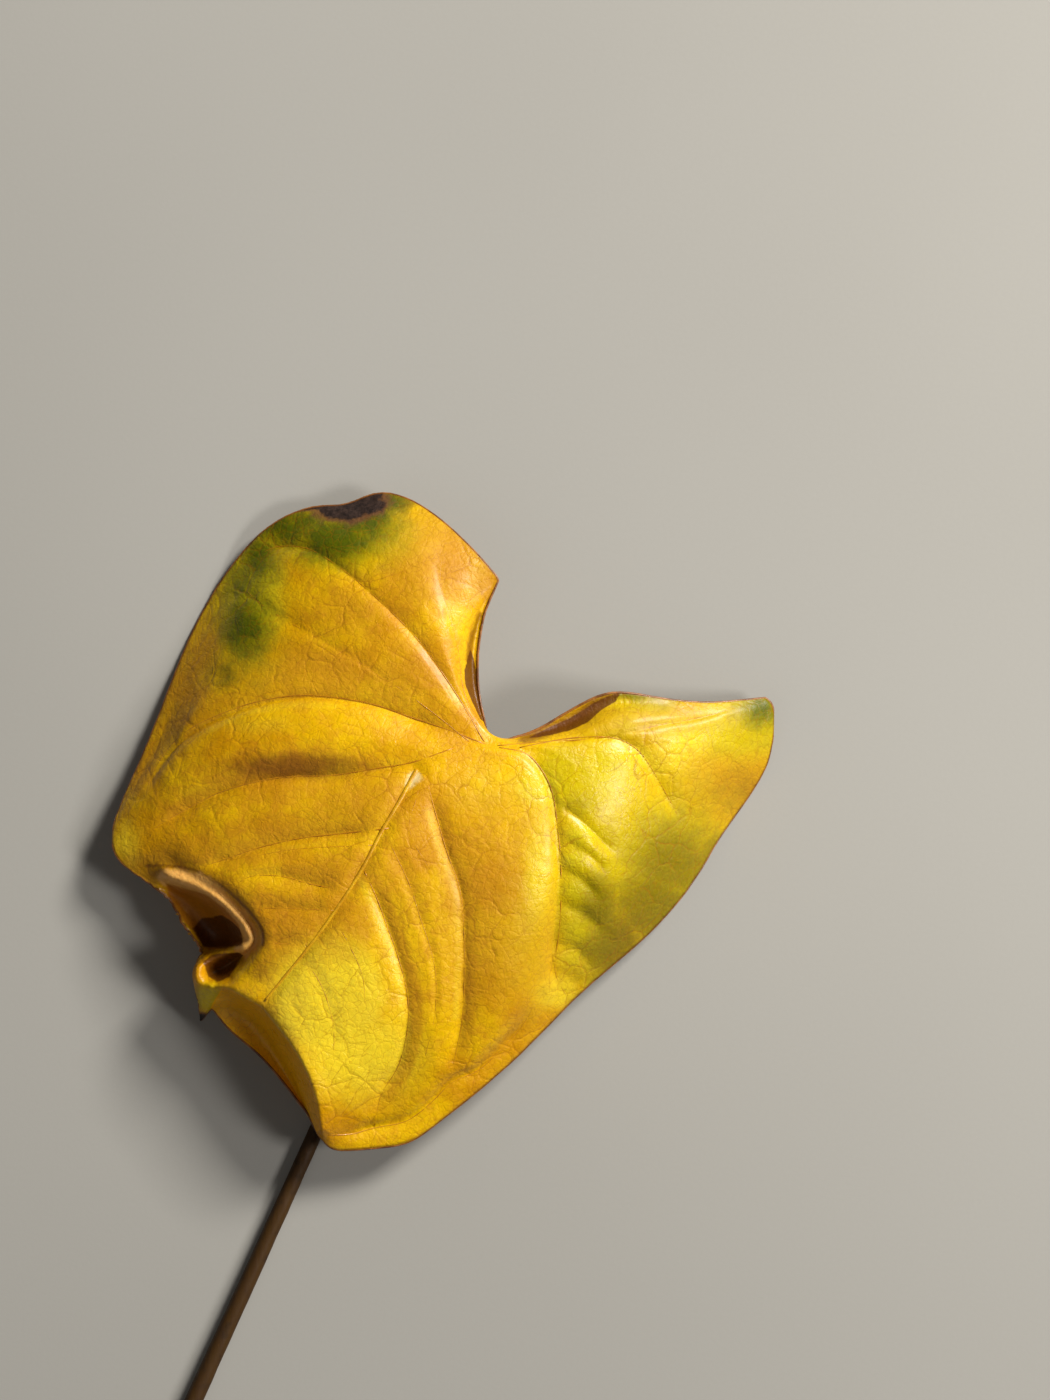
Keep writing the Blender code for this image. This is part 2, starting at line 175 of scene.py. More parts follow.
# The folds that the side veins lie in: (depth, reach to each side, points).
FOLDS = (
    (2.6, 5, ((-1.5, -0.5), (-12, 3.5), (-21, 6.5), (-31, 10), (-42, 12), (-51.5, 12.5), (-62, 11),
     (-71.5, 8), (-80.5, 4), (-87, -1), (-91.5, -8), (-94, -15))),
    (2.2, 4.5, ((-9.5, -1.5), (-21, -5.5), (-30, -7), (-42.5, -9), (-56, -9.5), (-64, -11),
     (-72.5, -13.5), (-80, -17), (-87, -21), (-93.5, -25))),
    (1.9, 4.5, ((-27, -23), (-39.5, -24.5), (-52, -26), (-64, -29), (-72.5, -32), (-80, -34))),
    (1, 4, ((-39.5, -39.5), (-48, -38), (-55.5, -36), (-64, -36), (-67, -37.5))),
    (0.8, 4, ((-41.5, -45), (-54.5, -44.5), (-63, -44.5))),
    (0.5, 3, ((-49, -54), (-59, -54))),
    (1.5, 5, ((-1.5, 0), (-8.5, 12), (-19.5, 27.5), (-31, 39), (-42, 48), (-50, 52.5), (-58.5, 53),
     (-62, 51.5))),
    (0.4, 3, ((-3, 2), (-7.5, 15.5), (-8.5, 24.5), (-11.5, 35.5), (-13.5, 44), (-12.5, 53))),
    (1.8, 5, ((-16.5, -11.5), (-14.8, -18), (-11.5, -29.5), (-8, -39.5), (-7, -52), (-7, -63.5),
     (-7.5, -74.5), (-9, -82.5), (-11, -92))),
    (2.4, 5, ((2.5, -1.5), (9.5, -3), (13.5, -7), (16.5, -13), (18, -22), (19, -33), (19, -44.5),
     (18.5, -52), (17.5, -62.5), (20.5, -69))),
    (0.7, 4, ((-28, -24), (-25, -30.5), (-21.5, -38), (-18.5, -47.5), (-16, -55), (-14.5, -63),
     (-15, -74.5), (-17.5, -84.5))),
    (1.7, 5.5, ((-33.5, -34.5), (-30.5, -41), (-28, -48), (-24.5, -58), (-22, -69.5), (-22.5, -79),
     (-25, -88), (-29.5, -95.5), (-31.5, -104.5))),
    (0.25, 2.5, ((-41.5, -47), (-37, -55.5), (-34, -63), (-33.5, -70))),
    (0.3, 2.5, ((-50, -57.5), (-45, -65.5), (-42, -76), (-42, -85))),
    (1.2, 4, ((2, -1), (13.5, 0), (29.5, 1), (45.5, 4.5), (56.5, 6.5), (66.5, 9))),
    (2, 5, ((8, -1.5), (21.5, 1), (33.5, 1), (39.5, -2), (44, -8), (48, -15), (52.5, -23))),
    (0.5, 3, ((-31, -27.5), (-42.5, -28), (-54.5, -29), (-64.5, -31))),
    (0.5, 3, ((-5.5, 0), (-17.5, 9.5), (-32, 19.5), (-46, 27.5), (-62, 37), (-66.5, 41))),
    (0.25, 3, ((-19, -13), (-21.5, -23.5), (-16, -34))),
    (1.5, 2.6, ((-44, -106.5), (-37.5, -106.5), (-32, -105), (-22.5, -103), (-15, -97),
     (-10.5, -92.5), (-3.5, -89.5), (2.5, -84), (8, -78), (12, -71))),
)

# Short grooves that pucker the blade beside its long right-hand fold, in the same form.
PUCKERS = (
    (1.5, 1.5, ((18.5, -16.5), (26, -22), (34.5, -31))),
    (1.1, 1.3, ((19.5, -27), (26, -30), (32, -35.5))),
    (1.2, 1.2, ((19.5, -35), (24.5, -37.2), (29.5, -42.5))),
    (1.2, 1.3, ((19.5, -44.5), (25, -46.5), (31, -52.5))),
    (1, 1.2, ((19, -55.5), (23.5, -56.8), (28, -61.5))),
    (0.6, 1.2, ((18.5, -63), (22, -64), (25, -67.5))),
)

# Soft-edged patches of colour in plan: (x, y, half width, half height, strength if not 1).
PATCHES = {
    "green": (
        (-41.5, 55, 9, 6, 1.25), (-33, 60, 7, 5.5, 1.2), (-28, 65.5, 6, 4, 1.1),
        (-52, 60, 9, 4, 1), (-57, 59, 9, 5, 1.1), (-63.5, 50, 5, 6), (-67.5, 42, 5, 8, 0.8),
        (-66.5, 31, 6, 8, 1.1), (-72, 18, 4.5, 3.5, 0.75), (74, 8.5, 6, 4.5),
        (38, 13.5, 6, 2, 0.8),
    ),
    "olive": (
        (50, -33, 11, 11, 1.1), (44, -45, 10, 9, 1.2), (60, -33, 6, 8), (34, -56, 7, 10, 1.1),
        (24, -17, 5, 3.5, 0.5), (30, -44, 5, 8), (46, 12, 10, 3, 0.6), (67, -14, 9, 7, 0.5),
        (-57, 58, 12, 8, 0.5),
    ),
    "lime": (
        (40, -29, 22, 18), (20, -10, 9, 9, 1.1), (12, -50, 10, 24, 0.5), (44, 5, 22, 6, 0.7),
        (29.5, -13, 12, 14), (52.5, -42, 12, 16), (26.5, -40, 8, 30), (42, 12.5, 12, 5),
        (69, 5, 12, 8, 1.2), (-66, 40, 9, 18), (-42, 56, 18, 8), (-76, -69.5, 4, 4),
    ),
    # Mostly the blade's own orange; the patch at (-52, 19) is painted shade on the slope above a
    # fold.
    "orange": (
        (-59, -11.5, 20, 6), (-37.5, 35.5, 11, 7), (-51, -23.5, 22, 5), (-66, -29, 16, 5),
        (-0.5, 43, 4, 5), (-50.5, -48.5, 19, 11), (8, -56, 20, 14), (-37, -16, 16, 8),
        (27, -59, 8, 11), (66.5, -12, 12, 9, 1.6), (-40, -34.5, 14, 5), (-3, -36.5, 10, 20),
        (-86, 10, 6, 14), (-52, 19, 18, 6, 1.5), (-18, 49, 9, 10, 1.6), (44, 6, 20, 3.5, 1.3),
        (6, -28, 10, 14, 0.7), (-19, -42, 6, 10, 0.6), (-24, 17, 11, 8, 0.9),
    ),
    # Browning with painted shade above a side-vein crease, and painted shade beside the hollow and
    # the funnel.
    "brown": ((-52, -6.5, 16, 3, 1.2), (-89, -36, 5, 2.2, 0.6), (-62, -61, 5, 4, 0.7)),
    # Painted highlights: lemon patches where light glints or falls brightly on the blade; the
    # layer also lowers the roughness there.
    "pale": (
        (-64, 41.5, 7, 14), (-99, -27, 5, 7, 0.7), (-62, 5, 16, 3.5, 0.5), (-3, 49, 4, 11, 0.5),
        (-43, -68, 10, 11, 2), (2.5, -13, 16, 8, 0.6), (34.5, -7.5, 8, 8), (54, -3, 10, 8),
        (-35, -84, 15, 12), (46, -5, 5, 7, 0.8), (25.5, -24.5, 4, 2.2), (23, -32, 3, 1.8),
        (24, -40.5, 4, 2), (23, -51.5, 3.5, 2.4), (21.5, -59.5, 3, 1.8), (13, -36, 3.5, 12),
        (13, -12, 6, 4), (40, -4, 6, 4), (18, -68, 5, 4),
    ),
    # Painted highlight: a whitish glint where the midrib bends near the joint.
    "waxy": ((-20.2, -9, 1.5, 1.2), (-21.4, -10.6, 1, 1.5)),
    "dead": ((-39, 65.6, 8.5, 5), (-50, 64.5, 5, 1.5), (-31, 68.5, 2, 3), (-79, -76, 2, 2)),
}
# Narrow streaks of colour in plan: (half width, points, strength).
STREAKS = {
    # Painted shade: orange streaks along the shaded side of the side-vein folds.
    "orange": (
        (2, ((-40, 15), (-51, 15.5), (-62, 14), (-72.5, 11), (-82, 6.5), (-89, 1.2), (-94, -6),
         (-96.5, -13)), 1),
        (1.6, ((-64, -9), (-72.5, -11.5), (-80, -15), (-87, -19)), 1),
        (1.3, ((-30, -21.5), (-39.5, -22.9), (-52, -24.3), (-64, -27.2), (-72.5, -30.2),
         (-79, -32.2)), 1),
        (1.8, ((-12.5, -18), (-9.3, -29), (-5.8, -39), (-4.8, -52), (-4.8, -63.5), (-5.3, -74.5),
         (-6.8, -82.5)), 1),
        (1.6, ((-30.8, -36), (-27.8, -42), (-25.4, -49), (-21.9, -59), (-19.6, -70), (-20, -79),
         (-22.4, -88), (-27, -96)), 1),
    ),
    # Painted light: lemon streaks along the lit side of the side-vein folds.
    "pale": (
        (1.6, ((-42, 9.6), (-52, 10.2), (-62, 8.7), (-71, 5.7), (-77, 3)), 0.5),
        (1.2, ((-28, -24.8), (-39.5, -26.2), (-52, -27.8), (-60, -29.7)), 0.5),
        (1.2, ((-16.4, -18.5), (-13.2, -29.8), (-9.6, -39.5), (-8.6, -52), (-8.6, -63.5),
         (-9.1, -74.5)), 0.6),
        (1.3, ((-35, -36), (-32.2, -41.5), (-29.7, -48.5), (-26.2, -58.3), (-23.7, -69.5),
         (-24.2, -79)), 0.7),
    ),
    # Painted shade: dark streaks in the crevice along the lip's outer edge, in the fold beside the
    # notch and in the fold under the right lobe's upper margin.
    "brown": (
        (0.45, ((-93, -33.6), (-87.3, -33.6), (-80.6, -34.6), (-74.5, -37.4), (-68.5, -41.6),
         (-63.5, -46.6), (-61, -50.3), (-60.8, -54.5)), 1),
        (0.8, ((-3, 34), (-5, 28), (-6, 22)), 1),
        (1.5, ((9, 1), (17, 3.7), (23.5, 7), (27.5, 10), (31, 12)), 1),
    ),
    # The lip where the curled side rolls over: the margin's paler underside, lightened further as
    # painted light. The same line raises the lip.
    "tan": ((2.3, ((-87, -36.8), (-83, -37.4), (-78.6, -38.4), (-73.8, -41.6), (-69.6, -45.6),
            (-65.8, -49.8), (-64, -53), (-66.2, -55.4)), 1),),
}
# The line where the lower left of the blade folds under.
CREST = (
    (-75, -65.5), (-72.1, -66), (-69.2, -66.6), (-66, -68.4), (-61.9, -71.1), (-58.6, -74.3),
    (-55, -78.7), (-51.6, -83.7), (-48.5, -89.9), (-46.6, -96.4), (-45.6, -104.6),
)
# Patches with a clear edge in plan: (width of the soft edge, corners).
FIELDS = {
    # Painted light: brightens the folded-under flap, which faces away from the lamps, to stand in
    # for light glowing through it.
    "amber": ((1.2, (*CREST[1:], (-49, -108), (-60, -92), (-80, -80), (-75.3, -70.6))),),
    # Painted shade inside the hollow behind the lip; the same outline sinks the hollow.
    "rust": ((2.2, ((-88, -38.2), (-76.6, -41), (-71.1, -44.8), (-67.4, -49.2), (-66.2, -53.1),
             (-69.4, -55.6), (-76.4, -57), (-81, -52), (-88, -44))),),
    # Painted shade: dark fields in the fold beside the notch, in the fold under the right lobe's
    # upper margin and inside the hollow and the funnel. The last outline also sinks the funnel.
    "umber": (
        (0.5, ((-5.4, 25), (-6.8, 19.5), (-6.4, 15.2), (-4.8, 10.6), (-2.8, 6), (-1.8, 5.2),
         (-3, 11), (-3.4, 16.7), (-4.4, 22))),
        (0.9, ((10.2, 1), (15.6, 3.7), (21, 6.2), (26.4, 9.4), (30, 11.6), (35, 13.4), (34, 10.8),
         (30, 8.8), (26.4, 5.8), (22.1, 3.9), (16.2, 2.1))),
        (2.4, ((-78.6, -48.2), (-72, -46.7), (-67.2, -50.4), (-66, -55), (-73, -56.2),
         (-78, -55.9), (-81.4, -51))),
        (1.6, ((-77.6, -59.8), (-75.1, -57.8), (-67.9, -56.6), (-66.5, -57.5), (-68.3, -60.6),
         (-70.2, -63.7), (-73.8, -65), (-76.4, -63.8))),
    ),
}
# The petiole's centre line from under the joint to the cut end: (x, y, height, radius).
PETIOLE = (
    (-0.9, -1.8, 28.8, 1.4), (-1.3, -2.8, 27.5, 2.3), (-2.4, -5.4, 25.2, 2.6),
    (-4.8, -11, 22.2, 2.4), (-7.8, -17.8, 19.2, 1.9), (-15, -34, 12.8, 1.9), (-28, -63, 5.6, 1.95),
    (-40, -89.5, 2.3, 2), (-52, -116, 2.2, 2.1), (-69, -153.5, 2.35, 2.3), (-90, -199.5, 2.5, 2.5),
)
PETIOLE_RINGS = 160
PETIOLE_TURN = math.radians(24.4)  # from the Y axis to the straight part

TINTS = tuple(dict.fromkeys((*PATCHES, *STREAKS, *FIELDS)))


def from_display(red, green, blue):
    """A linear colour from display values of 0 to 255."""
    return tuple(
        c / 12.92 if c <= 0.04045 else ((c + 0.055) / 1.055) ** 2.4
        for c in (red / 255, green / 255, blue / 255)
    )


class BladeSettings(bpy.types.PropertyGroup):
    rows: IntProperty(name="Rows", description="Faces along the midrib", default=290, min=44)
    columns: IntProperty(name="Columns", description="Faces across the blade", default=156, min=28)
    thickness: FloatProperty(
        name="Thickness", description="Thickness of the sheet", default=0.0005, unit="LENGTH"
    )
    folds: FloatProperty(
        name="Folds", description="Share of the full depth of the folds along the veins",
        default=1.15, min=0.0, max=2.0, subtype="FACTOR",
    )
    crinkle: FloatProperty(
        name="Crinkle", description="Height of the small wrinkles", default=0.00035, unit="LENGTH"
    )
    gold: FloatVectorProperty(
        name="Gold", description="Main colour", subtype="COLOR", size=3,
        default=from_display(238, 187, 0),
    )
    amber: FloatVectorProperty(
        name="Amber", description="Deeper yellow", subtype="COLOR", size=3,
        default=from_display(212, 149, 0),
    )
    green: FloatVectorProperty(
        name="Green", description="Colour that is still green", subtype="COLOR", size=3,
        default=from_display(62, 80, 0),
    )
    gloss: FloatProperty(
        name="Roughness", description="Roughness of the upper face", default=0.36,
        min=0.0, max=1.0, subtype="FACTOR",
    )


class VeinSettings(bpy.types.PropertyGroup):
    midrib_radius: FloatProperty(
        name="Midrib", description="Radius of the midrib at its start", default=0.00078,
        unit="LENGTH",
    )
    side_radius: FloatProperty(
        name="Side veins", description="Radius of a side vein at its start", default=0.00026,
        unit="LENGTH",
    )
    edge_radius: FloatProperty(
        name="Edge", description="Radius of the dry edge", default=0.00034, unit="LENGTH"
    )


class PetioleSettings(bpy.types.PropertyGroup):
    sides: IntProperty(name="Sides", description="Faces round the petiole", default=32, min=12)
    colour: FloatVectorProperty(
        name="Colour", description="Colour of the skin", subtype="COLOR", size=3,
        default=from_display(60, 38, 6),
    )


class StageSettings(bpy.types.PropertyGroup):
    floor: FloatVectorProperty(
        name="Floor", description="Colour of the floor", subtype="COLOR", size=3,
        default=from_display(158, 154, 146),
    )
    key_power: FloatProperty(
        name="Key light", description="Power of the main light", default=53.0, unit="POWER"
    )
    fill_power: FloatProperty(
        name="Fill light", description="Power of the broad light", default=2.8, unit="POWER"
    )
    side_power: FloatProperty(
        name="Side light", description="Power of the light that brings out the sheen", default=9.0,
        unit="POWER",
    )
    camera_height: FloatProperty(
        name="Camera height", description="Above the floor", default=1.26, unit="LENGTH"
    )


def deselect_all():
    for item in bpy.context.selected_objects:
        item.select_set(False)


def make_active(item):
    deselect_all()
    item.select_set(True)
    bpy.context.view_layer.objects.active = item


def apply_modifiers(item):
    make_active(item)
    for modifier in list(item.modifiers):
        bpy.ops.object.modifier_apply(modifier=modifier.name)


# --- the sheet, in millimetres ---

EVEN_SPACING = 1.5  # keeps the rows from crowding where the cage is long
NOTCH_ACROSS, NOTCH_DOWN = 0.42, 0.6  # in rows of the cage
TOP_DENT = (-40, 69, 5, 4, 2.6)  # as a patch, with its depth
RAG_HEIGHT, RAG_MIDDLE = 0.22, 0.4
RAG_WAVES = ((17.3, 0, 1), (29.1, 1.3, 1), (47.7, 0, 0.6))  # pitch, phase, share
RAG_FIRST_ROWS, RAG_LAST_ROW = (12.5, 14), 22
RAG_SHARES = (1.0, 0.75, 0.45, 0.2)  # for the margin and the columns next to it
VALLEY_SHARE, VALLEY_REACH = 0.3, 1.3  # the narrow part of a fold
FOLD_START = 0.25  # share of its depth that a fold has where it starts
FOLDS_FROM_JOINT, FOLDS_FROM_MARGIN = (2, 22), (0.3, 6)
GROOVE_DEPTH, GROOVE_REACH, GROOVE_FROM_JOINT = 0.9, 2.2, (12, 22)
CREST_HEIGHT, CREST_REACH, FLAP_REACH = 4.0, 3.4, 1.5
LIP_HEIGHT, LIP_REACH = 2.3, 2.2
HOLLOW_DEPTH, HOLLOW_EDGE = 3.5, 5.0
FUNNEL_DEPTH, FUNNEL_EDGE = 3.0, 3.5


def spline_point(points, place):
    """A point of the smooth curve through these points; place counts from 0 at the first."""
    last = len(points) - 1
    i = min(int(place), last - 1)
    p1, p2 = points[i], points[i + 1]
    p0 = points[i - 1] if i > 0 else 2 * p1 - p2
    p3 = points[i + 2] if i + 2 <= last else 2 * p2 - p1
    knots = [0.0]
    for a, b in ((p0, p1), (p1, p2), (p2, p3)):
        knots.append(knots[-1] + max(np.linalg.norm(b - a), 1e-6) ** 0.5)
    t = knots[1] + (place - i) * (knots[2] - knots[1])
    row = (p0, p1, p2, p3)
    for spans in (((0, 1), (1, 2), (2, 3)), ((0, 2), (1, 3)), ((1, 2),)):
        row = [
            ((knots[b] - t) * row[k] + (t - knots[a]) * row[k + 1]) / (knots[b] - knots[a])
            for k, (a, b) in enumerate(spans)
        ]
    return row[0]


def smooth_curve(points, steps):
    points = [np.array(p, float) for p in points]
    places = np.linspace(0, len(points) - 1, steps * (len(points) - 1) + 1)
    return np.array([spline_point(points, place) for place in places])


def divide(points, shares):
    """Points at these shares of the length of the curve through the given points."""
    curve = smooth_curve(points, 16)
    steps = np.linalg.norm(np.diff(curve, axis=0), axis=1)
    length = np.concatenate([[0], np.cumsum(steps)])
    length /= length[-1]
    return [
        np.array([np.interp(share, length, curve[:, k]) for k in range(3)])
        for share in shares
    ]


def blade_cage():
    """Rows of points across the blade, margin to margin, one for each pair of rays."""
    rows = []
    for i, start in enumerate(MIDRIB):
        left = [np.array(p, float) for p in LEFT_RAYS[i]]
        right = [np.array(p, float) for p in RIGHT_RAYS[i]]
        middle = np.array(start, float)
        if i < PLAIN_LEFT:
            left = divide([middle] + left, LEFT_SHARES)
        if i < PLAIN_RIGHT:
            right = divide([middle] + right, RIGHT_SHARES)
        rows.append(left[::-1] + [middle] + right)
    return np.array(rows)


def soften(cage, places):
    """Rows at these places of the cage's smooth surface, which starts and ends on its edge."""
    padded = np.concatenate([2 * cage[:1] - cage[1:2], cage, 2 * cage[-1:] - cage[-2:-1]])
    first = np.clip(places.astype(int), 0, len(cage) - 2)
    f = (places - first)[:, None, None]
    weights = (
        (1 - f) ** 3 / 6,
        (3 * f**3 - 6 * f**2 + 4) / 6,
        (-3 * f**3 + 3 * f**2 + 3 * f + 1) / 6,
        f**3 / 6,
    )
    return sum(weight * padded[first + k] for k, weight in enumerate(weights))


def even_places(cage, count):
    """count + 1 places along the cage's first axis, closer together where its rows are longer."""
    gaps = np.linalg.norm(np.diff(cage, axis=0), axis=2)
    size = 0.5 * gaps.max(axis=1) + 0.5 * gaps.mean(axis=1) + EVEN_SPACING
    reach = np.concatenate([[0], np.cumsum(size)])
    return np.interp(np.linspace(0, reach[-1], count + 1), reach, np.arange(len(cage)))


def sheet_grid(rows, columns):
    """The smooth sheet as an array of (rows + 1, columns + 1) points in millimetres."""
    cage = blade_cage()
    down = even_places(cage, rows)
    across = even_places(cage.transpose(1, 0, 2), columns)
    grid = soften(cage, down)
    grid = soften(grid.transpose(1, 0, 2), across).transpose(1, 0, 2)
    # The notch comes to a point at the joint, and the top margin has a dent.
    middle = cage.shape[1] // 2
    pull = cage[0, middle] - grid[0, np.argmin(abs(across - middle))]
    sideways = np.exp(-(((across - middle) / NOTCH_ACROSS) ** 2))
    near = sideways * np.exp(-down / NOTCH_DOWN)[:, None]
    grid = grid + near[..., None] * pull
    grid[..., 1] -= spot(grid[..., :2], *TOP_DENT)
    # The curled side's edge is a little ragged.
    inward = grid[:, 5] - grid[:, 0]
    inward /= np.linalg.norm(inward, axis=1, keepdims=True)
    rag = RAG_HEIGHT * sum(
        share * np.sin(down * pitch + phase) for pitch, phase, share in RAG_WAVES
    )
    rag = (rag + RAG_MIDDLE) * ramp(down, *RAG_FIRST_ROWS) * ramp(RAG_LAST_ROW - down, 0.5, 1.5)
    for column, share in enumerate(RAG_SHARES):
        grid[:, column] += inward * (rag * share)[:, None]
    return grid


def sheet_normals(grid):
    along = np.gradient(grid, axis=0)
    across = np.gradient(grid, axis=1)
    normals = np.cross(along, across)
    return normals / np.maximum(np.linalg.norm(normals, axis=2, keepdims=True), 1e-9)


def beside(plan, a, b):
    """Each point's share of the way from a to b, from 0 to 1, and its distance from the line."""
    step = b - a
    t = np.clip(((plan - a) @ step) / max(step @ step, 1e-9), 0, 1)
    return t, np.linalg.norm(plan - a - t[..., None] * step, axis=-1)


def distance_to(plan, line):
    """Distance in plan from each point to a line of points."""
    line = smooth_curve(line, 5)
    return np.minimum.reduce([beside(plan, a, b)[1] for a, b in zip(line, line[1:])])


def margin_distance(grid, *margins):
    """Distance from each point of the sheet to the nearest of these margins."""
    return np.minimum.reduce([np.linalg.norm(grid - margin, axis=2) for margin in margins])


def ramp(value, low, high):
    t = np.clip((value - low) / (high - low), 0, 1)
    return t * t * (3 - 2 * t)


def field(plan, soft, corners):
    """1 inside the outline and 0 outside it, with a soft edge."""
    corners = np.array(corners + corners[:1], float)
    sides = list(zip(corners, corners[1:]))
    away = np.minimum.reduce([beside(plan, a, b)[1] for a, b in sides])
    inside = np.zeros(plan.shape[:-1], bool)
    x, y = plan[..., 0], plan[..., 1]
    for a, b in sides:
        step = b - a
        if step[1] != 0:
            inside ^= ((a[1] > y) != (b[1] > y)) & (x < a[0] + step[0] * (y - a[1]) / step[1])
    return ramp(np.where(inside, away, -away), -0.5 * soft, 0.5 * soft)


def spot(plan, x, y, wide, high, strength=1.0):
    """A soft round or oval patch: full strength at its middle."""
    away = ((plan[..., 0] - x) / wide) ** 2 + ((plan[..., 1] - y) / high) ** 2
    return strength * np.exp(-0.5 * away)


def fold(plan, depth, reach, line):
    """Depth of the valley along one vein; it starts and ends softly."""
    line = smooth_curve(line, 4)
    share = np.linspace(0, 1, len(line))
    found = np.zeros(plan.shape[:-1])
    for a, b, start in zip(line, line[1:], share):
        t, away = beside(plan, a, b)
        along = start + t / (len(line) - 1)
        opening = FOLD_START + (1 - FOLD_START) * ramp(along, 0, 0.2)
        away = np.sqrt(away**2 + 0.06)
        wide, narrow = np.exp(-away / reach), np.exp(-away / VALLEY_REACH)
        profile = (1 - VALLEY_SHARE) * wide + VALLEY_SHARE * narrow
        found = np.maximum(found, depth * opening * ramp(1 - along, -0.04, 0.2) * profile)
    return found


def relief(grid, depth_share):
    """Height in millimetres to add along the normal, for the folds and pillows of the blade."""
    plan = grid[..., :2]
    from_joint = np.linalg.norm(plan, axis=-1)
    open_blade = ramp(from_joint, *FOLDS_FROM_JOINT)
    inside = ramp(margin_distance(grid, grid[:, :1], grid[:, -1:]), *FOLDS_FROM_MARGIN)
    height = -depth_share * open_blade * np.max([fold(plan, *f) for f in FOLDS], axis=0)
    groove = np.exp(-((distance_to(plan, MIDRIB_VEIN) / GROOVE_REACH) ** 2))
    height -= GROOVE_DEPTH * groove * ramp(from_joint, *GROOVE_FROM_JOINT)
    height -= np.max([fold(plan, *pucker) for pucker in PUCKERS], axis=0)
    return height * inside


def lift(grid):
    """Height in millimetres to add straight up, where the curled side folds sharply."""
    plan = grid[..., :2]
    (_, flap), (_, hollow), (_, funnel) = (FIELDS[key][-1] for key in ("amber", "rust", "umber"))
    crest = distance_to(plan, CREST)
    lip = distance_to(plan, STREAKS["tan"][0][1])
    reach = CREST_REACH - (CREST_REACH - FLAP_REACH) * field(plan, 1.0, flap)
    height = CREST_HEIGHT * np.exp(-np.sqrt(crest**2 + 0.1) / reach)
    height += LIP_HEIGHT * np.exp(-((lip / LIP_REACH) ** 2))
    height -= HOLLOW_DEPTH * field(plan, HOLLOW_EDGE, hollow)
    height -= FUNNEL_DEPTH * field(plan, FUNNEL_EDGE, funnel)
    return height


def build_sheet(settings):
    """The blade's upper face as one grid, wrinkled, as a new object in its place."""
    grid = sheet_grid(settings.rows, settings.columns)
    lifted = grid + sheet_normals(grid) * relief(grid, settings.folds)[..., None]
    lifted[..., 2] += lift(grid)
    deselect_all()
    bpy.ops.mesh.primitive_grid_add(
        x_subdivisions=settings.columns, y_subdivisions=settings.rows, size=1.0
    )
    sheet = bpy.context.object
    sheet.name = sheet.data.name = "blade"
    places = (lifted[::-1] + JOINT) * MM
    sheet.data.vertices.foreach_set("co", places.reshape(-1))
    plan = grid[::-1, :, :2].reshape(-1, 2)
    for name in TINTS:
        shades = [spot(plan, *patch) for patch in PATCHES.get(name, ())]
        shades += [share * np.exp(-0.5 * (distance_to(plan, line) / width) ** 2)
                   for width, line, share in STREAKS.get(name, ())]
        shades += [field(plan, *outline) for outline in FIELDS.get(name, ())]
        shade = np.max(shades, axis=0)
        layer = sheet.data.attributes.new(name, "FLOAT", "POINT")
        layer.data.foreach_set("value", shade.astype(np.float32))
    edge = margin_distance(grid, grid[:, :1], grid[:, -1:], grid[:1])[::-1].reshape(-1)
    layer = sheet.data.attributes.new("edge", "FLOAT", "POINT")
    layer.data.foreach_set("value", edge.astype(np.float32))
    sheet.data.update()
    return sheet


def wrinkle(item, name, scale, strength):
    """Cloudy wrinkles of this size and height, in metres, as a modifier."""
    texture = bpy.data.textures.new(name, "CLOUDS")
    texture.noise_scale = scale
    texture.noise_depth = 2
    modifier = item.modifiers.new(name, "DISPLACE")
    modifier.texture = texture
    modifier.texture_coords = "LOCAL"
    modifier.mid_level = 0.5
    modifier.strength = strength


def keep_inside(places, inset=0.0):
    """The same places in metres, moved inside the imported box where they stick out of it."""
    low, high = (np.array(corner) for corner in CAD_BOX)
    return np.clip(places, low + inset, high - inset)


def keep_mesh_inside(item):
    places = np.empty(3 * len(item.data.vertices))
    item.data.vertices.foreach_get("co", places)
    item.data.vertices.foreach_set("co", keep_inside(places.reshape(-1, 3)).reshape(-1))
    item.data.update()


# --- materials ---


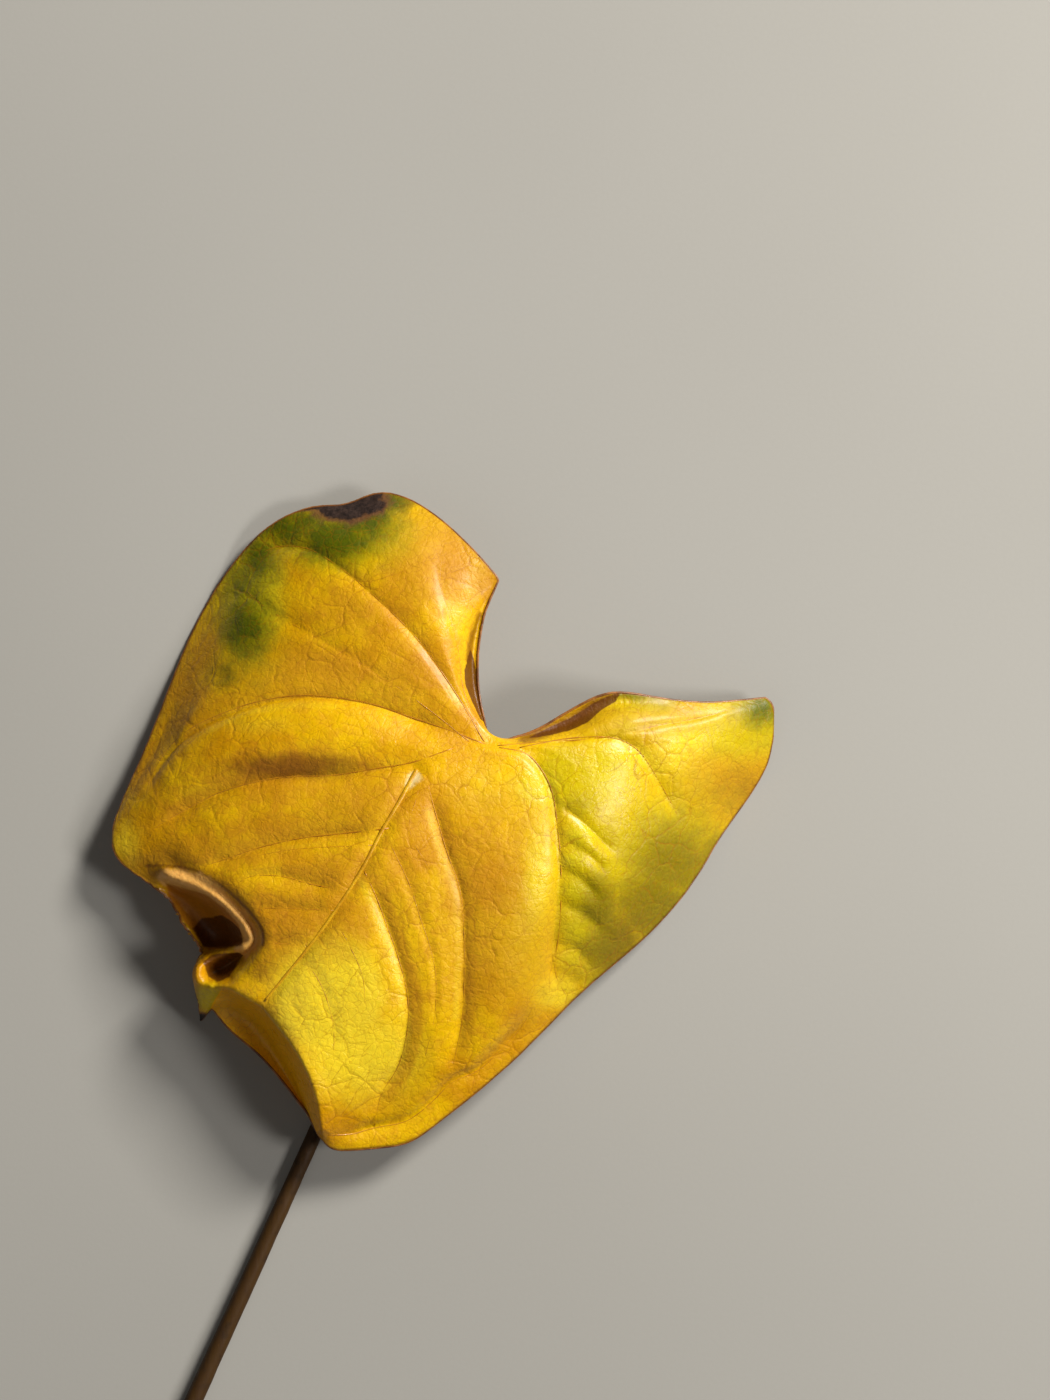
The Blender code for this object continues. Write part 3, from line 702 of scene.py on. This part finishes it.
class Nodes:
    """Adds shader nodes to one material."""

    def __init__(self, name):
        self.material = bpy.data.materials.new(name)
        self.material.use_nodes = True
        self.tree = self.material.node_tree
        self.tree.nodes.clear()

    def add(self, kind, inputs=(), **settings):
        made = self.tree.nodes.new("ShaderNode" + kind)
        for key, value in settings.items():
            setattr(made, key, value)
        for key, value in dict(inputs).items():
            socket = made.inputs[key]
            if hasattr(value, "is_output"):
                self.tree.links.new(value, socket)
            else:
                socket.default_value = value
        return made

    def out(self, kind, inputs=(), output=0, **settings):
        return self.add(kind, inputs, **settings).outputs[output]

    def value(self, name):
        return self.out("Attribute", output=2, attribute_name=name)

    def math(self, operation, first, second=0.0):
        return self.out("Math", {0: first, 1: second}, operation=operation)

    def plus(self, base, value, share, operation="ADD"):
        """The base and a share of the value, added or subtracted."""
        return self.math(operation, base, self.math("MULTIPLY", value, share))

    def bump(self, height, strength, distance):
        return self.out("Bump", {"Strength": strength, "Distance": distance, "Height": height})

    def remap(self, value, low, high, to_low=0.0, to_high=1.0):
        return self.out(
            "MapRange", {0: value, 1: low, 2: high, 3: to_low, 4: to_high},
            interpolation_type="SMOOTHSTEP",
        )

    def blend(self, factor, first, second, mode="MIX"):
        """Mixes two colours; a tuple holds display values of 0 to 255."""
        made = self.add("Mix", {0: factor}, data_type="RGBA", blend_type=mode)
        for index, colour in ((6, first), (7, second)):
            if hasattr(colour, "is_output"):
                self.tree.links.new(colour, made.inputs[index])
            else:
                linear = from_display(*colour) if isinstance(colour, tuple) else colour
                made.inputs[index].default_value = (*linear, 1.0)
        return made.outputs[2]

    def noise(self, place, scale, detail=3.0, roughness=0.55, distortion=0.0):
        return self.out(
            "TexNoise",
            {"Vector": place, "Scale": scale, "Detail": detail, "Roughness": roughness,
             "Distortion": distortion},
        )

    def finish(self, shader):
        self.add("OutputMaterial", {"Surface": shader})
        return self.material

    def opaque(self, colour, shine, normal, more=()):
        inputs = {"Base Color": colour, "Roughness": shine, "Normal": normal, **dict(more)}
        return self.finish(self.out("BsdfPrincipled", inputs))


# Noise patterns: (cells to the metre, detail, roughness).
BROAD = (42.0, 3.0, 0.55)
MOTTLE = (210.0, 4.0, 0.6)
GRAIN = (1500.0, 2.0, 0.55)
PORES = (1100.0, 3.0, 0.7)
HUSK = (700.0, 4.0, 0.7)
LEATHER = (300.0, 4.0, 0.55)
WRINKLES = (820.0, 3.0, 0.6, 0.6)  # and distortion
# Nets of veins: (cells to the metre, width of a line, width of its groove).
NET = (125.0, 0.03, 0.1)
FINE_NET = (420.0, 0.05, 0.16)
NET_BEND = 0.003  # metres
# Colours over the gold, from the bottom up: (layer, where it starts and is full, strength,
# colour or None for the green setting, how far the mottle breaks it up).
UNDER_NETS = (
    # Painted highlights and painted light on the lit side of the folds.
    ("pale", 0.25, 1.0, 0.7, (252, 226, 50), 0.35),
    # The blade's orange, and painted shade on the shaded side of the folds.
    ("orange", 0.25, 1.0, 0.6, (200, 136, 0), 0.6),
    ("lime", 0.15, 0.95, 0.75, (202, 184, 2), 0.4),
    ("olive", 0.1, 1.1, 0.85, (124, 106, 0), 0.4),
    ("green", 0.1, 1.15, 0.92, None, 0.8),
    # Browning and painted shade in creases and crevices.
    ("brown", 0.25, 1.1, 0.8, (122, 68, 0), 0.7),
    # Painted light on the folded-under flap.
    ("amber", 0.3, 0.7, 0.9, (255, 184, 0), 0.05),
)
OVER_NETS = (
    # The paler lip, lightened as painted light.
    ("tan", 0.3, 0.75, 0.85, (244, 182, 96), 0.9),
    # Painted shade inside the hollow.
    ("rust", 0.25, 0.8, 0.85, (190, 112, 22), 0.6),
    # Painted shade in folds, the hollow and the funnel.
    ("umber", 0.3, 0.7, 0.92, (100, 52, 4), 0.9),
    # Painted highlight near the joint.
    ("waxy", 0.2, 0.7, 0.8, (250, 226, 160), 0.9),
    ("dead", 0.3, 0.5, 0.8, (112, 64, 44), 0.4),
)


def net_of_veins(nodes, place, scale, width):
    """Lines between irregular cells: 1 on a line and 0 beside it."""
    distance = nodes.out(
        "TexVoronoi", {"Vector": place, "Scale": scale, "Randomness": 1.0},
        feature="DISTANCE_TO_EDGE",
    )
    return nodes.remap(distance, 0.0, width, 1.0, 0.0)


def leaf_material(name, settings, under=False):
    nodes = Nodes(name)
    place = nodes.out("TexCoord", output=3)
    bend = nodes.out("TexNoise", {"Vector": place, "Scale": 160.0, "Detail": 2.0}, output=1)
    offset = nodes.out("VectorMath", {0: bend, 1: (0.5, 0.5, 0.5)}, operation="SUBTRACT")
    shift = nodes.out("VectorMath", {0: offset, "Scale": NET_BEND}, operation="SCALE")
    bent = nodes.out("VectorMath", {0: place, 1: shift}, operation="ADD")

    broad = nodes.noise(place, *BROAD)
    mottle = nodes.noise(place, *MOTTLE)
    grain = nodes.noise(place, *GRAIN)
    net, net_dip = (net_of_veins(nodes, bent, NET[0], width) for width in NET[1:])
    fine_net, fine_dip = (net_of_veins(nodes, bent, FINE_NET[0], width) for width in FINE_NET[1:])

    colour = nodes.blend(nodes.remap(broad, 0.4, 0.66), settings.gold, settings.amber)
    colour = nodes.blend(
        nodes.math("MULTIPLY", nodes.remap(mottle, 0.45, 0.7), 0.5), colour, (216, 150, 2)
    )

    def patch(layer, low, high, strength, tint, rough, base):
        broken = nodes.plus(nodes.value(layer), nodes.math("SUBTRACT", mottle, 0.5), rough)
        mask = nodes.math("MULTIPLY", nodes.remap(broken, low, high), strength)
        return nodes.blend(mask, base, tint)

    def patches(table, base):
        for layer, low, high, strength, tint, rough in table:
            base = patch(layer, low, high, strength, tint or settings.green, rough, base)
        return base

    colour = patches(UNDER_NETS, colour)
    faint = nodes.remap(nodes.noise(place, 60.0, 1.0), 0.38, 0.62)
    colour = nodes.blend(nodes.math("MULTIPLY", net, nodes.math("MULTIPLY", faint, 0.42)),
                         colour, (160, 92, 4))
    colour = nodes.blend(nodes.math("MULTIPLY", fine_net, 0.32), colour, (164, 100, 4))
    colour = patches(OVER_NETS, colour)
    husk = nodes.blend(
        nodes.remap(nodes.noise(place, *HUSK), 0.35, 0.7), (34, 20, 14), (66, 47, 38)
    )
    colour = patch("dead", 0.46, 0.6, 1.0, husk, 0.7, colour)
    rim = nodes.remap(nodes.value("edge"), 0.0, 0.7, 0.6, 0.0)
    colour = nodes.blend(rim, colour, (140, 78, 14))
    if under:
        colour = nodes.blend(0.45, colour, (190, 146, 60))
    pores = nodes.noise(place, *PORES)
    colour = nodes.blend(0.42, colour, pores, "SOFT_LIGHT")

    height = nodes.math("MULTIPLY", nodes.noise(bent, *LEATHER), 0.9)
    height = nodes.plus(height, net_dip, nodes.plus(0.04, faint, 0.22), "SUBTRACT")
    height = nodes.plus(height, fine_dip, 0.08, "SUBTRACT")
    height = nodes.plus(height, nodes.noise(bent, *WRINKLES), 0.5)
    height = nodes.plus(height, grain, 0.16)
    normal = nodes.bump(height, 0.6, 0.0005)
    dull = nodes.math("MULTIPLY", nodes.value("orange"), 0.16)
    dull = nodes.plus(dull, nodes.value("dead"), 0.35)
    sheen = nodes.plus(dull, nodes.value("pale"), 0.12, "SUBTRACT")
    shine = nodes.math("ADD", sheen, nodes.remap(
        mottle, 0.3, 0.7, settings.gloss - 0.05, settings.gloss + 0.1))
    principled = nodes.out(
        "BsdfPrincipled",
        {"Base Color": colour, "Roughness": shine, "Normal": normal, "IOR": 1.42,
         "Specular IOR Level": 0.4,
         "Coat Weight": 0.0 if under else 0.1, "Coat Roughness": 0.2},
    )
    through = nodes.out("BsdfTranslucent", {"Color": colour, "Normal": normal})
    return nodes.finish(nodes.out("MixShader", {0: 0.2, 1: principled, 2: through}))


def vein_material(name, tint, edge_tint):
    nodes = Nodes(name)
    place = nodes.out("TexCoord", output=3)
    mottle = nodes.noise(place, 260.0, 3.0)
    grain = nodes.noise(place, 1800.0, 2.0)
    colour = nodes.blend(nodes.remap(mottle, 0.35, 0.68), tint, edge_tint)
    normal = nodes.bump(grain, 0.35, 0.0002)
    shine = nodes.remap(grain, 0.3, 0.7, 0.3, 0.45)
    return nodes.opaque(colour, shine, normal)


def petiole_material(settings):
    nodes = Nodes("petiole_skin")
    place = nodes.out("TexCoord", output=3)
    turned = nodes.out("Mapping", {"Vector": place, "Rotation": (0.0, 0.0, PETIOLE_TURN),
                                   "Scale": (1.0, 0.06, 1.0)})
    streak = nodes.noise(turned, 900.0, 3.0)
    mottle = nodes.noise(place, 240.0, 4.0)
    speck = nodes.noise(place, 2200.0, 2.0)
    colour = nodes.blend(nodes.remap(streak, 0.35, 0.68), settings.colour, (58, 36, 10))
    blotch = nodes.math("MULTIPLY", nodes.remap(mottle, 0.5, 0.72), 0.6)
    colour = nodes.blend(blotch, colour, (34, 20, 6))
    colour = nodes.blend(nodes.remap(speck, 0.66, 0.74, 0.0, 0.55), colour, (84, 58, 26))
    normal = nodes.bump(nodes.plus(streak, speck, 0.3), 0.5, 0.0003)
    shine = nodes.remap(mottle, 0.3, 0.7, 0.5, 0.65)
    return nodes.opaque(colour, shine, normal, {"Specular IOR Level": 0.2})


def floor_material(settings):
    nodes = Nodes("floor_paper")
    place = nodes.out("TexCoord", output=3)
    soft = nodes.noise(place, 3.0, 2.0)
    grain = nodes.noise(place, 900.0, 3.0)
    colour = nodes.blend(nodes.remap(soft, 0.3, 0.7, 0, 0.5), settings.floor, (148, 144, 136))
    normal = nodes.bump(grain, 0.08, 0.0002)
    shine = nodes.remap(grain, 0.3, 0.7, 0.82, 0.92)
    return nodes.opaque(colour, shine, normal)


# --- tubes laid on the sheet ---


def tube(name, lines, sides):
    """One mesh of tapering tubes, closed at both ends, from lines of (x, y, z, radius) in mm."""
    curve = bpy.data.curves.new(name, "CURVE")
    curve.dimensions = "3D"
    curve.bevel_depth = MM
    curve.bevel_resolution = max(sides // 2 - 2, 0)
    curve.resolution_u = 1
    curve.use_fill_caps = True
    for line in lines:
        spline = curve.splines.new("POLY")
        spline.points.add(len(line) - 1)
        for point, (x, y, z, radius) in zip(spline.points, line):
            x, y, z = (np.array((x, y, z)) + JOINT) * MM
            point.co = (x, y, z, 1.0)
            point.radius = radius
    item = bpy.data.objects.new(name, curve)
    bpy.context.scene.collection.objects.link(item)
    make_active(item)
    bpy.ops.object.convert(target="MESH")
    item = bpy.context.object
    bpy.ops.object.mode_set(mode="EDIT")
    bpy.ops.mesh.select_all(action="SELECT")
    bpy.ops.mesh.remove_doubles(threshold=1e-6)
    bpy.ops.mesh.normals_make_consistent(inside=False)
    bpy.ops.object.mode_set(mode="OBJECT")
    bpy.ops.object.shade_smooth()
    return item


def laid_on(surface, line, start_radius, end_radius, sink):
    """Points of a line in plan, dropped on the surface and sunk a little."""
    plan = smooth_curve(line, 6)
    laid = []
    for i, (x, y) in enumerate(plan):
        above = Vector(((x + JOINT[0]) * MM, (y + JOINT[1]) * MM, 1.0))
        hit, normal, _, _ = surface.ray_cast(above, Vector((0, 0, -1)))
        if hit is None:
            continue
        share = i / (len(plan) - 1)
        radius = start_radius + (end_radius - start_radius) * share
        point = np.array(hit) / MM - JOINT - np.array(normal) * radius * sink
        laid.append((*point, radius))
    laid = np.array(laid)
    laid[1:-1] = (laid[:-2] + laid[1:-1] + laid[2:]) / 3
    return laid


# --- operators ---


class ANTHURIUM_OT_blade(bpy.types.Operator):
    """Build the heart-shaped blade in place of its packed sheet"""

    bl_idname = "anthurium.blade"
    bl_label = "Blade"

    def execute(self, context):
        settings = context.scene.anthurium_blade
        blade = build_sheet(settings)
        wrinkle(blade, "crinkle", 0.0075, settings.crinkle)
        wrinkle(blade, "fine_crinkle", 0.003, settings.crinkle * 0.45)
        wall = blade.modifiers.new("thickness", "SOLIDIFY")
        wall.thickness = settings.thickness
        wall.offset = 0.0
        wall.material_offset = 1
        wall.material_offset_rim = 1
        blade.data.materials.append(leaf_material("leaf_upper_face", settings))
        blade.data.materials.append(leaf_material("leaf_under_face", settings, under=True))
        apply_modifiers(blade)
        keep_mesh_inside(blade)
        bpy.ops.object.shade_smooth()
        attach(blade, "root")
        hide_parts("leaf_blade")
        return {"FINISHED"}


class ANTHURIUM_OT_veins(bpy.types.Operator):
    """Lay the midrib and the side veins on the blade as tapering ribs"""

    bl_idname = "anthurium.veins"
    bl_label = "Veins"

    def execute(self, context):
        settings = context.scene.anthurium_veins
        graph = context.evaluated_depsgraph_get()
        surface = BVHTree.FromObject(bpy.data.objects["blade"], graph)
        middle = settings.midrib_radius / MM
        side = settings.side_radius / MM
        lines = [laid_on(surface, line, side * (0.4 + 0.25 * depth), side * 0.25, 0.6)
                 for depth, _, line in FOLDS]
        veins = tube("veins", lines, 8)
        veins.data.materials.append(vein_material("vein", (190, 128, 2), (166, 102, 2)))
        midrib = tube("midrib", [laid_on(surface, MIDRIB_VEIN, middle, middle * 0.5, 0.5)], 12)
        midrib.data.materials.append(vein_material("midrib", (206, 156, 8), (178, 124, 2)))
        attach(midrib, "root")
        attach(veins, "root")
        return {"FINISHED"}


class ANTHURIUM_OT_edge(bpy.types.Operator):
    """Run the thin dry edge round the blade's margin"""

    bl_idname = "anthurium.edge"
    bl_label = "Dry edge"

    def execute(self, context):
        radius = context.scene.anthurium_veins.edge_radius
        settings = context.scene.anthurium_blade
        shape = (2, settings.rows + 1, settings.columns + 1, 3)
        places = np.empty(math.prod(shape))
        bpy.data.objects["blade"].data.vertices.foreach_get("co", places)
        grid = keep_inside(places.reshape(shape).mean(axis=0), radius) / MM - JOINT
        radius /= MM
        loop = np.concatenate([grid[0, ::2][::-1], grid[::2, 0], grid[-1, ::2], grid[::-2, -1]])
        far = np.concatenate([[True], np.linalg.norm(np.diff(loop, axis=0), axis=1) > 0.25])
        line = [(*point, radius) for point in loop[far]]
        edge = tube("dry_edge", [line], 6)
        edge.data.materials.append(vein_material("dry_edge", (150, 92, 30), (96, 54, 20)))
        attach(edge, "root")
        return {"FINISHED"}


class ANTHURIUM_OT_petiole(bpy.types.Operator):
    """Build the petiole, with its thicker joint and its cut end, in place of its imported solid"""

    bl_idname = "anthurium.petiole"
    bl_label = "Petiole"

    def execute(self, context):
        settings = context.scene.anthurium_petiole
        places = np.linspace(0, len(PETIOLE) - 1, PETIOLE_RINGS + 1)
        line = soften(np.array(PETIOLE)[:, None], places)[:, 0]
        petiole = tube("petiole_skin", [line], settings.sides)
        wrinkle(petiole, "petiole_skin", 0.004, 0.00022)
        petiole.data.materials.append(petiole_material(settings))
        apply_modifiers(petiole)
        keep_mesh_inside(petiole)
        bpy.ops.object.shade_smooth_by_angle(angle=math.radians(40))
        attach(petiole, "root")
        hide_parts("petiole")
        return {"FINISHED"}


# The lights: (place, size, colour).
LIGHTS = {
    "key": ((1.1, 1.1, 1.05), 0.5, (1.0, 0.99, 0.96)),
    "fill": ((-0.9, -0.7, 1.5), 1.6, (1, 1, 1)),
    "side": ((0.97, -0.1, 0.94), 0.3, (1, 1, 1)),
}
LIT_POINT = (0.02, 0.06, 0.02)
FLOOR_SIDE = 6.0
WORLD_GREY, WORLD_STRENGTH = 0.6, 0.11
CAMERA_PLACE = (0.0222, 0.0776)
SENSOR_MM = 36.0
# The camera frames this height at this distance.
VIEW_DISTANCE, VIEW_HEIGHT = 1.24, 0.378


def area_light(name, place, size, power, colour):
    light = bpy.data.lights.new(name, "AREA")
    light.size = size
    light.energy = power
    light.color = colour
    item = bpy.data.objects.new(name, light)
    item.location = place
    aim = Vector(LIT_POINT) - Vector(place)
    item.rotation_euler = aim.to_track_quat("-Z", "Y").to_euler()
    bpy.context.scene.collection.objects.link(item)


class ANTHURIUM_OT_stage(bpy.types.Operator):
    """Lay the floor, hang the lights and set the camera over the leaf"""

    bl_idname = "anthurium.stage"
    bl_label = "Stage"

    def execute(self, context):
        settings = context.scene.anthurium_stage
        deselect_all()
        bpy.ops.mesh.primitive_plane_add(size=FLOOR_SIDE)
        floor = context.object
        floor.name = "floor"
        floor.data.materials.append(floor_material(settings))
        for name, (place, size, colour) in LIGHTS.items():
            area_light(name, place, size, getattr(settings, name + "_power"), colour)
        world = bpy.data.worlds.new("studio")
        world.use_nodes = True
        background = world.node_tree.nodes["Background"].inputs
        background["Color"].default_value = (WORLD_GREY, WORLD_GREY, WORLD_GREY, 1.0)
        background["Strength"].default_value = WORLD_STRENGTH
        context.scene.world = world
        camera = bpy.data.cameras.new("camera")
        camera.sensor_width = SENSOR_MM
        camera.lens = SENSOR_MM * VIEW_DISTANCE / VIEW_HEIGHT
        item = bpy.data.objects.new("camera", camera)
        item.location = (*CAMERA_PLACE, settings.camera_height)
        context.scene.collection.objects.link(item)
        context.scene.camera = item
        context.scene.view_settings.view_transform = "Standard"
        return {"FINISHED"}


class ANTHURIUM_PT_panel(bpy.types.Panel):
    bl_idname = "ANTHURIUM_PT_panel"
    bl_label = "Anthurium Leaf"
    bl_space_type = "VIEW_3D"
    bl_region_type = "UI"
    bl_category = "Leaf"

    def draw(self, context):
        for scene_name, (_, operators) in GROUPS.items():
            box = self.layout.box()
            settings = getattr(context.scene, scene_name)
            for name in settings.bl_rna.properties.keys():
                if name not in ("rna_type", "name"):
                    box.prop(settings, name)
            for operator in operators:
                box.operator(operator.bl_idname)


GROUPS = {
    "anthurium_blade": (BladeSettings, (ANTHURIUM_OT_blade,)),
    "anthurium_veins": (VeinSettings, (ANTHURIUM_OT_veins, ANTHURIUM_OT_edge)),
    "anthurium_petiole": (PetioleSettings, (ANTHURIUM_OT_petiole,)),
    "anthurium_stage": (StageSettings, (ANTHURIUM_OT_stage,)),
}
CLASSES = (
    *(made for settings, operators in GROUPS.values() for made in (settings, *operators)),
    ANTHURIUM_PT_panel,
)


def register():
    for made in CLASSES:
        bpy.utils.register_class(made)
    for name, (settings, _) in GROUPS.items():
        setattr(bpy.types.Scene, name, PointerProperty(type=settings))


def unregister():
    for name in GROUPS:
        delattr(bpy.types.Scene, name)
    for made in reversed(CLASSES):
        bpy.utils.unregister_class(made)


def main():
    register()
    bpy.ops.anthurium.blade()
    bpy.ops.anthurium.veins()
    bpy.ops.anthurium.edge()
    bpy.ops.anthurium.petiole()
    bpy.ops.anthurium.stage()


if __name__ == "__main__":
    main()
